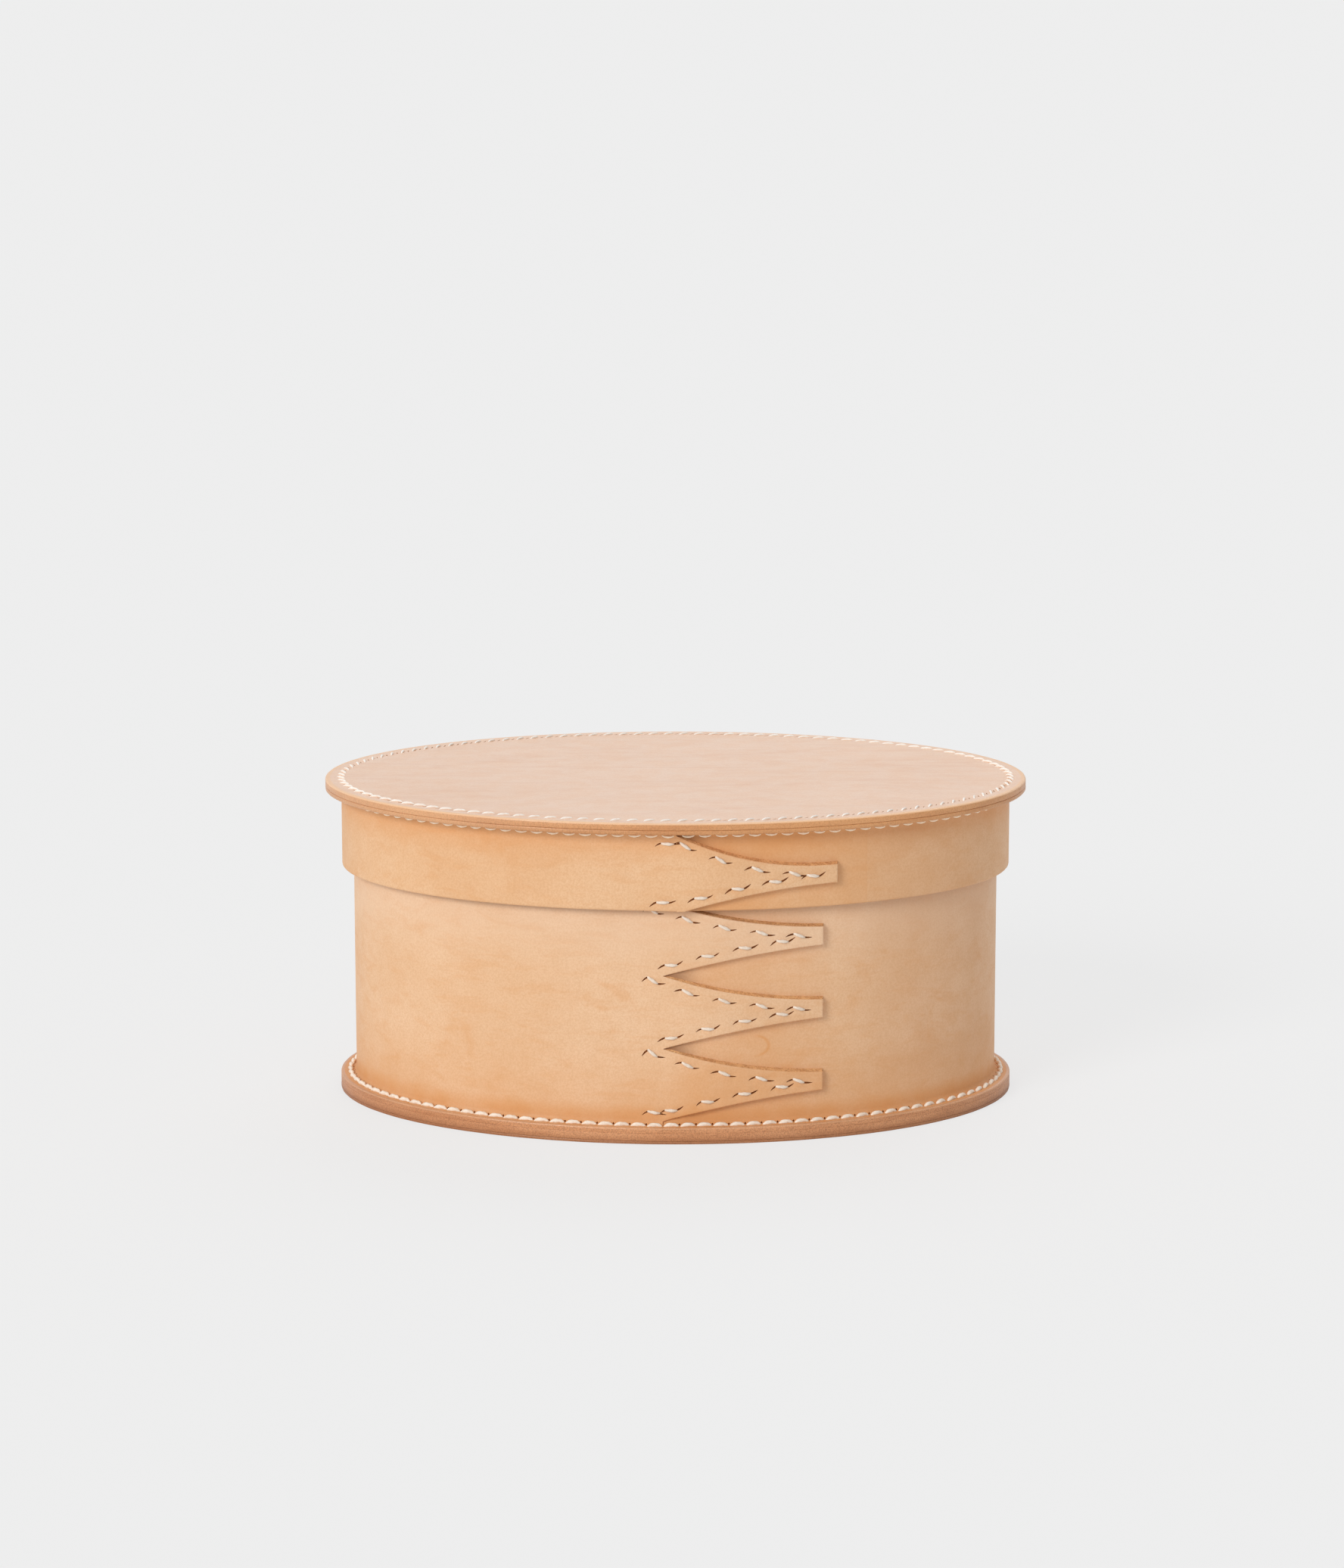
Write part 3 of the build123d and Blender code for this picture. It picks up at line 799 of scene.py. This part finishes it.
def make_wall():
    """Body wall: foot flange, lapped strip and three fingers."""
    lap = wall_lap
    shell = Shell()
    angles, x, outer, inner, first, last = strip_columns(lap)
    notches = first_notch_z + finger_pitch * np.arange(finger_count + 1)
    finger_rows = [notch + finger_pitch * row_shares[:-1] for notch in notches[:-1]]
    upper_rows = np.linspace(notches[-1], rim_level - mouth_round, 12)
    outer_z = np.concatenate([*finger_rows, upper_rows])
    inner_z = np.linspace(notches[-1], notches[0], 2 * finger_count + 1)
    rim = foot_overhang - rim_sway + wobble(angles, 3, rim_sway)

    bulge = wobble(angles, 5, wall_bulge, (3, 5, 8, 13)) * np.sin(
        np.clip((outer_z - flange_top) / (rim_level - flange_top), 0, 1) * math.pi
    )
    off_lap = smooth((np.abs(x - lap_middle) - lap_half) / lap_fade)
    off_lap = np.where(np.sin(angles) < 0, off_lap, 1.0)
    drawn = dents(x, outer_z, wall_cuts)
    drawn[:-last] = 0
    face = outer + lap.fold(outer_z) - drawn + bulge * off_lap

    sections = [
        arc(rim, foot_level, -flange_foot_round, flange_foot_round, to_side, RIM),
        arc(rim, flange_top, -rim_round, -rim_round, from_side, RIM),
        flat(rim - rim_round, outer + foot_fold, flange_top),
        arc(outer, flange_top, foot_fold, foot_fold, (90, 75, 60, 45, 32), GRAIN),
        (face, outer_z, GRAIN),
        arc(outer, rim_level, -mouth_round, -mouth_round, from_side[1:], RIM),
        arc(inner, rim_level, mouth_round, -mouth_round, to_side[:-1], RIM),
        (inner, np.array([rim_level - mouth_round, *inner_z]), FLESH),
        arc(inner, foot_level, inner_fold, inner_fold, (0, 22, 45, 68, 90), FLESH),
    ]
    points, heights = sweep(shell, angles, sections, first)
    shell.polygon(points[0], CUT)
    shell.polygon(points[-1][heights >= notches[-1] - level_slack], CUT)
    shell.polygon(points[-1][heights <= notches[0] + level_slack], CUT)
    add_tongue(shell, lap, foot_level + tongue_fold_gap, rim_level - tongue_rim_gap)

    for low_root, high_root in zip(notches, notches[1:]):
        middle = (low_root + high_root) / 2
        lower = ((lap.end_x, low_root), (wall_tip_x, middle - finger_tip / 2), finger_sag)
        upper = ((lap.end_x, high_root), (wall_tip_x, middle + finger_tip / 2), -finger_sag)
        add_finger(shell, lap, lower, upper, wall_cuts)
    shell.build(
        "wall_strip", [wall_finish, flesh_finish, base_edge_finish, cut_finish, lapped_wall_finish],
        "box", "leather_wall", "body_wall",
    )


def make_band():
    """Lid band: lapped strip with its flange at the top and one finger."""
    lap = band_lap
    shell = Shell()
    angles, x, outer, inner, first, last = strip_columns(lap)
    root_top = lid_flange_bottom - band_root_drop
    outer_z = band_bottom + (root_top - band_bottom) * row_shares
    rim = lid_offset - rim_sway + wobble(angles, 8, rim_sway)
    foot_round = np.clip(1 - (outer_z - band_bottom) / band_foot_round, 0, 1) ** 2 * band_foot_outside
    drawn = dents(x, outer_z, band_cuts)
    drawn[:-last] = 0
    face = outer + lap.fold(outer_z) - drawn - foot_round

    sections = [
        (face, outer_z, GRAIN),
        arc(outer, lid_flange_bottom, lid_fold, -lid_fold, (35, 48, 62, 76, 90), GRAIN),
        flat(outer + lid_fold, rim - rim_round, lid_flange_bottom),
        arc(rim, lid_flange_bottom, -rim_round, rim_round, to_side, RIM),
        arc(rim, lid_level, -band_top_round, -band_top_round, from_side, RIM),
        arc(inner, lid_level, lid_inner_fold, -lid_inner_fold, to_side, FLESH),
        (inner, band_bottom + np.array([16, 8, band_foot_round]), FLESH),
        arc(inner, band_bottom, band_foot_inside, band_foot_round, from_side[1:], RIM),
    ]
    points, heights = sweep(shell, angles, sections, first)
    shell.polygon(points[0], CUT)
    shell.polygon(points[-1][heights >= root_top - level_slack], CUT)
    add_tongue(shell, lap, band_bottom + tongue_rim_gap, lid_level - tongue_fold_gap)

    lower_tip = (band_tip_x, band_finger_z - finger_tip / 2)
    upper_tip = (band_tip_x, band_finger_z + finger_tip / 2)
    lower = ((band_low_root_x, band_bottom), lower_tip, band_lower_sag)
    upper = ((lap.end_x, root_top), upper_tip, -band_upper_sag)
    add_finger(shell, lap, lower, upper, band_cuts)
    shell.build(
        "band_strip", [band_finish, flesh_finish, lid_edge_finish, cut_finish, lapped_band_finish],
        "lid", "leather_wall", "lid_band",
    )


# The plates

# How far in from a plate's rounded rim its rings of points lie, closest round the lid's seam
ring_insets = np.array([
    0.4, 0.9, 1.6, 2.4, 3.2, 3.8, 4.1, 4.3, 4.5, 4.7, 4.9, 5.1, 5.4, 5.8, 6.3, 7.2, 8.6,
    11, 15, 20, 27, 35, 43, 51, 58, 64, 69,
])
under_insets = np.array([0, 4, 20, 45, 69])
lid_swell, swell_inset, swell_breadth = 0.2, 12, 9


def seam_places(offset, start, end):
    """Angles of the stitches of a seam, evenly spaced along the oval at this offset."""
    fine = np.linspace(start, end, 6000)
    x, y = oval(fine, offset)
    along = lengths(x, y)
    count = round(along[-1] / seam_pitch)
    return np.interp((np.arange(count) + 0.5) / count * along[-1], along, fine)


def lid_groove(inset):
    """How far the thread's groove is pressed into the lid, at a place in from its seam."""
    return -groove_depth * np.exp(-(inset / groove_breadth) ** 2)


def make_plate(name, offset, low, high, top_round, bottom_round, finishes, node, slot, body, seed,
               seam=False, burnish=0.3):
    """An oval plate, its faces in rings towards the middle and its rim rounded and uneven. seam
    presses the seam's groove into its top, and burnish says how far in its edge's finish runs."""
    shell = Shell()
    columns = 720 if seam else 420
    angles = np.linspace(-math.pi / 2, 3 * math.pi / 2, columns + 1)[:-1, None]
    rim = offset - rim_sway + wobble(angles, seed, rim_sway)

    def add_rings(offsets, levels, kinds, middle):
        x = (half_length + offsets) * np.cos(angles)
        y = (half_width + offsets) * np.sin(angles)
        points = to_points(x, y, levels)
        shell.grid(points, kinds, wrap_columns=True)
        shell.polygon(points[:, -1], middle)

    top = np.full((columns, len(ring_insets)), high)
    if seam:
        swell = wobble(angles, seed + 20, lid_swell, (2, 3, 5))
        top += lid_groove(ring_insets + top_round - lid_seam_inset)
        top += swell * np.exp(-((ring_insets - swell_inset) / swell_breadth) ** 2)
    turns = range(0, 91, 18)
    lower, lower_levels, _ = arc(rim, low, -bottom_round, bottom_round, turns[::-1], RIM)
    upper, upper_levels, _ = arc(rim, high, -top_round, -top_round, turns, RIM)
    offsets = np.concatenate([lower, upper, rim - top_round - ring_insets], 1)
    rims = np.broadcast_to([*lower_levels, *upper_levels], (columns, 2 * len(turns)))
    inner_kinds = np.where(ring_insets <= burnish, RIM, GRAIN)
    kinds = [RIM] * (2 * len(turns) - 1) + [*inner_kinds]
    add_rings(offsets, np.concatenate([rims, top], 1), kinds, GRAIN)
    add_rings(rim - bottom_round - under_insets, low, FLESH, FLESH)
    shell.build(name, finishes, body, slot, node)


# Threads

def lean(heading, side, degrees):
    """Headings turned towards a side."""
    turn = math.radians(degrees)
    return heading * math.cos(turn) + side * math.sin(turn)


def tubes(shell, middle, along, up, half, radius, rise, dive, sway, taper, kind=0):
    """Stitches, each a short three-strand tube that arches over the leather and dives into its
    holes. middle and along have a row for each stitch, and up may have one too."""
    rng = np.random.default_rng(len(middle))
    up = np.broadcast_to(up, along.shape)
    share = np.linspace(-1, 1, thread_rings)
    across = np.cross(up, along)
    along = along + across * rng.uniform(-thread_turn, thread_turn, (len(middle), 1))
    middle = middle + across * rng.uniform(-thread_shift, thread_shift, (len(middle), 1))
    lift = rise - (rise + dive) * np.abs(share) ** 3.2
    centre = (
        middle[:, None] + along[:, None] * (half * share)[:, None] + up[:, None] * lift[:, None]
        + across[:, None] * (sway * np.sin(math.pi * share))[:, None]
    )
    heading = unit(np.gradient(centre, axis=1))
    side = unit(np.cross(up[:, None], heading))
    top = np.cross(heading, side)
    turn = np.linspace(0, 2 * math.pi, thread_sides, endpoint=False)
    strands = 1 + strand_depth * np.cos(3 * (turn - strand_twist * share[:, None]))
    thick = (radius * (1 - taper * np.abs(share) ** 2.2))[:, None] * strands
    ring = (
        side[:, :, None] * (np.cos(turn) * thick)[:, :, None]
        + top[:, :, None] * (np.sin(turn) * thick)[:, :, None]
    )
    for stitch in centre[:, :, None] + ring:
        shell.grid(stitch, kind, wrap_rows=True)
        shell.polygon(stitch[0], kind)
        shell.polygon(stitch[-1], kind)


def seam_frames(offset, angles, level, lap=None):
    """Middle, level heading and outward direction of each stitch of a seam round an oval."""
    def place(angles):
        x, y = oval(angles, offset + (lap.seam_lift(angles) if lap else 0.0))
        return to_points(x, y, level)

    middle = place(angles)
    heading = unit(place(angles + 0.002) - middle)
    return middle, heading, np.cross(heading, UP)


def make_base_seam(angles):
    """Seam round the foot, through flange and base plate."""
    shell = Shell()
    middle, heading, outward = seam_frames(foot_seam_offset, angles, flange_top, wall_lap)
    tubes(shell, middle, lean(heading, -outward, foot_lean), UP, **foot_stitch)
    shell.build(
        "base_seam_stitches", [foot_thread_finish], "box", "waxed_thread", "base_seam_thread",
        crease=thread_crease,
    )


def make_lid_seam(top_angles):
    """Seam round the lid, on its top and in the fold under its flange."""
    shell = Shell()
    middle, heading, outward = seam_frames(lid_seam_offset, top_angles, box_height - lid_seam_sink)
    tubes(shell, middle, lean(heading, -outward, lid_lean), UP, **lid_stitch)
    under_angles = seam_places(
        under_seam_offset, front_angle(band_lap.end_x + under_seam_start),
        front_angle(band_lap.end_x) + 2 * math.pi,
    )
    middle, heading, outward = seam_frames(
        under_seam_offset, under_angles, lid_flange_bottom - under_seam_drop, band_lap
    )
    tubes(shell, middle, heading, lean(outward, -UP, under_slope), kind=1, **under_stitch)
    shell.build(
        "lid_seam_stitches", [lid_thread_finish, under_thread_finish],
        "lid", "waxed_thread", "lid_seam_thread", crease=thread_crease,
    )


def make_finger_threads(name, stitches, cuts, lap, body, node):
    """Spaced stitches that lie on a strip's outer end, drawn a little into the leather."""
    shell = Shell()
    step = 0.5
    middles, headings, ups = [], [], []
    for x, z, turn, _, _ in stitches:
        fold = float(lap.fold(z))
        y = front(x, lap.over(x) + fold - float(dents(x, z, cuts)) * drawn_share)
        y2 = front(x + step, lap.over(x + step) + fold)
        level = unit(np.array([step, y2 - y, 0.0]))
        middles.append((x, y, z))
        headings.append(lean(level, UP, turn))
        ups.append(np.cross(level, UP))
    tubes(shell, np.array(middles), np.array(headings), np.array(ups), **finger_stitch)
    shell.build(name, [thread_finish], body, "waxed_thread", node, crease=thread_crease)


def leaf(shell, surface, reach, breadth, bend=0.0, blunt=0.0):
    """A leaf-shaped sliver for an awl's cut, in a surface that gives points for places along,
    across and deep. reach and breadth are half its length and width, bend bows it, and blunt
    widens its front end."""
    along = np.linspace(-1, 1, 11)[:, None]
    across = np.array([-1, -0.5, 0, 0.5, 1, 0.5, 0, -0.5])[None, :]
    depth = np.array([0.1, 0, 0, 0, 0.1, 0.3, 0.35, 0.3])[None, :]
    width = breadth * np.maximum(0, 1 - along ** 2) ** 0.75 * (1 + blunt * along)
    points = surface(along * reach, across * width + bend * (1 - along ** 2), depth + 0 * along)
    shell.grid(points, 0, wrap_rows=True)


def make_finger_cuts(name, cuts, lap, body):
    """Dark leaf-shaped openings where the fingers' thread goes through: slivers in the brown of the cut
    fibres, darkened as painted shade of the holes.
    """
    shell = Shell()
    for x, z, turn, size in cuts:
        cosine, sine = math.cos(math.radians(turn)), math.sin(math.radians(turn))

        def surface(along, across, deep):
            place_x = x + along * cosine - across * sine
            place_z = z + along * sine + across * cosine
            offset = lap.over(place_x) + lap.fold(place_z) - dents(place_x, place_z, cuts)
            return to_points(place_x, front(place_x, offset + cut_lift - deep), place_z)

        leaf(shell, surface, cut_length * size / 2, cut_half_width * size, bend=0.14, blunt=0.4)
    shell.build(name, [hole_finish], body, "leather_wall")


def make_top_cuts(angles):
    """Slanted openings between the stitches on the lid: brown slivers as painted shade of the holes."""
    shell = Shell()
    middle, heading, outward = seam_frames(lid_seam_offset, angles, box_height)
    direction = lean(heading, -outward, top_cut_lean)
    for centre, ahead, aside, out in zip(middle, direction, np.cross(UP, direction), outward):

        def surface(along, across, deep):
            points = centre + along[..., None] * ahead + across[..., None] * aside
            inset = ((points - centre) * -out).sum(-1)
            points[..., 2] += lid_groove(inset) + small_cut_lift - deep
            return points

        leaf(shell, surface, reach=1.0, breadth=0.22)
    shell.build("lid_awl_cuts", [lid_hole_finish], "lid", "leather_lid")


def make_fold_cuts(angles):
    """Small dark openings in the fold between the stitches round the foot: dark slivers as painted shade
    of the holes and of the gaps between the stitches.
    """
    shell = Shell()
    for angle, raised in zip(angles, wall_lap.seam_lift(angles)):

        def surface(along, across, deep):
            turn = np.radians(fold_cut_turn + fold_cut_span * along)
            radius = foot_fold - small_cut_lift + deep
            offset = raised + foot_fold - radius * np.cos(turn)
            z = flange_top + foot_fold - radius * np.sin(turn)
            x, y = oval(angle + across / half_width, offset)
            return to_points(x, y, z)

        leaf(shell, surface, reach=1.0, breadth=0.3)
    shell.build("foot_awl_cuts", [hole_finish], "box", "leather_wall")


# The studio

view_distance = 1.4215
view_elevation = 12.4
view_azimuth = 0.25
look_at = Vector((0, 0, 0.0496))
lens_pixels = 5937
image_width, image_height = 1776, 2072
object_pixel = (892.5, 1228.0)
sensor_width = 36
backdrop = srgb(238, 238, 238)
sky_strength = 0.53
floor_reach = 40000
floor_tuck = 0.5
floor_glow = 0.82


def towards(azimuth, elevation):
    """Direction from the box to a place, azimuth 0 at the front and growing towards +X."""
    azimuth, elevation = math.radians(azimuth), math.radians(elevation)
    return Vector((
        math.sin(azimuth) * math.cos(elevation),
        -math.cos(azimuth) * math.cos(elevation),
        math.sin(elevation),
    ))


def make_camera():
    """A camera at the photograph's place, turned so that the box lies where it lies there."""
    data = bpy.data.cameras.new("camera")
    camera = add_object("camera", data)
    back = towards(view_azimuth, view_elevation)
    camera.location = look_at + back * view_distance
    tilt = math.atan((object_pixel[1] - image_height / 2) / lens_pixels)
    pan = math.atan((object_pixel[0] - image_width / 2) / lens_pixels)
    camera.rotation_mode = "QUATERNION"
    camera.rotation_quaternion = (
        (-back).to_track_quat("-Z", "Y")
        @ Quaternion((1, 0, 0), tilt)
        @ Quaternion((0, 1, 0), pan)
    )
    data.sensor_width = sensor_width
    data.lens = lens_pixels / image_height * sensor_width
    data.clip_start, data.clip_end = 0.05, 60
    bpy.context.scene.camera = camera


def make_sun(name, azimuth, elevation, strength, spread):
    """Soft light from far off."""
    data = bpy.data.lights.new(name, "SUN")
    data.energy, data.angle = strength, math.radians(spread)
    lamp = add_object(name, data)
    lamp.location = towards(azimuth, elevation)
    lamp.rotation_mode = "QUATERNION"
    lamp.rotation_quaternion = (-lamp.location).to_track_quat("-Z", "Y")


def make_sky():
    """Even pale light from all round, in front of a backdrop of the photograph's tone."""
    world = bpy.data.worlds.new("studio")
    bpy.context.scene.world = world
    world.use_nodes = True
    kit = Nodes(world.node_tree)
    light = kit.tree.nodes["Background"]
    kit.fill(light, {"Color": (1, 1, 1, 1), "Strength": sky_strength})
    seen = kit.node("ShaderNodeBackground", {"Color": backdrop})
    path = kit.node("ShaderNodeLightPath").outputs
    share = kit.math("MAXIMUM", path["Is Camera Ray"], path["Is Glossy Ray"])
    kit.mix_shaders(share, light, seen, "World Output")


def make_floor():
    """A plain floor that meets the backdrop, open under the box's sole."""
    angles = np.linspace(0, 2 * math.pi, 121)[:-1]
    far = floor_reach * np.array([np.cos(angles), np.sin(angles)])
    rings = [to_points(*ring, 0.0) for ring in (oval(angles, foot_overhang - floor_tuck), far)]
    shell = Shell()
    shell.grid(np.stack(rings, 1), wrap_columns=True)
    material = bpy.data.materials.new("floor")
    material.use_nodes = True
    kit = Nodes(material.node_tree)
    plain = kit.tree.nodes["Principled BSDF"]
    pale = (0.95, 0.95, 0.95, 1)
    kit.fill(plain, {"Base Color": pale, "Roughness": 0.9, "Specular IOR Level": 0.0})
    glow = kit.node("ShaderNodeEmission", {"Color": backdrop})
    path = kit.node("ShaderNodeLightPath").outputs
    share = kit.math("MULTIPLY", path["Is Camera Ray"], floor_glow)
    kit.mix_shaders(share, plain, glow, "Material Output")
    floor = add_object("floor", shell.mesh("floor", [material]))


make_camera()
make_sky()
make_sun("key", azimuth=-36, elevation=26, strength=1.5, spread=24)
make_sun("back", azimuth=165, elevation=50, strength=0.6, spread=40)
make_floor()
bpy.context.scene.view_settings.view_transform = "Standard"

make_wall()
make_band()

make_plate(
    "lid_top", lid_offset, lid_level, box_height, 0.6, 0.3,
    [lid_finish, flesh_finish, lid_edge_finish], "lid_plate", "leather_lid", "lid", 8,
    seam=True, burnish=0.9,
)
base_finishes = [base_finish, flesh_finish, base_edge_finish]
for name, low, high, top_round, node, seed in (
    ("base", sole_top, foot_level, 0.1, "base_plate", 3),
    ("sole", 0.0, sole_top, 0.2, "bottom_sole", 45),
):
    make_plate(
        name, foot_overhang, low, high, top_round, 0.2, base_finishes, node, "leather_base", "box", seed
    )

make_finger_threads(
    "wall_finger_stitches", wall_stitches, wall_cuts, wall_lap, "box", "body_finger_thread"
)
make_finger_threads(
    "band_finger_stitches", band_stitches, band_cuts, band_lap, "lid", "lid_finger_thread"
)
make_finger_cuts("wall_awl_cuts", wall_cuts, wall_lap, "box")
make_finger_cuts("band_awl_cuts", band_cuts, band_lap, "lid")

base_angles = seam_places(
    foot_seam_offset, front_angle(wall_lap.end_x + flange_slit),
    front_angle(wall_lap.end_x) + 2 * math.pi,
)
top_angles = seam_places(lid_seam_offset, -math.pi / 2, 3 * math.pi / 2)
make_base_seam(base_angles)
make_lid_seam(top_angles)
make_top_cuts((top_angles + np.roll(top_angles, -1)) / 2)
make_fold_cuts((base_angles[1:] + base_angles[:-1]) / 2)
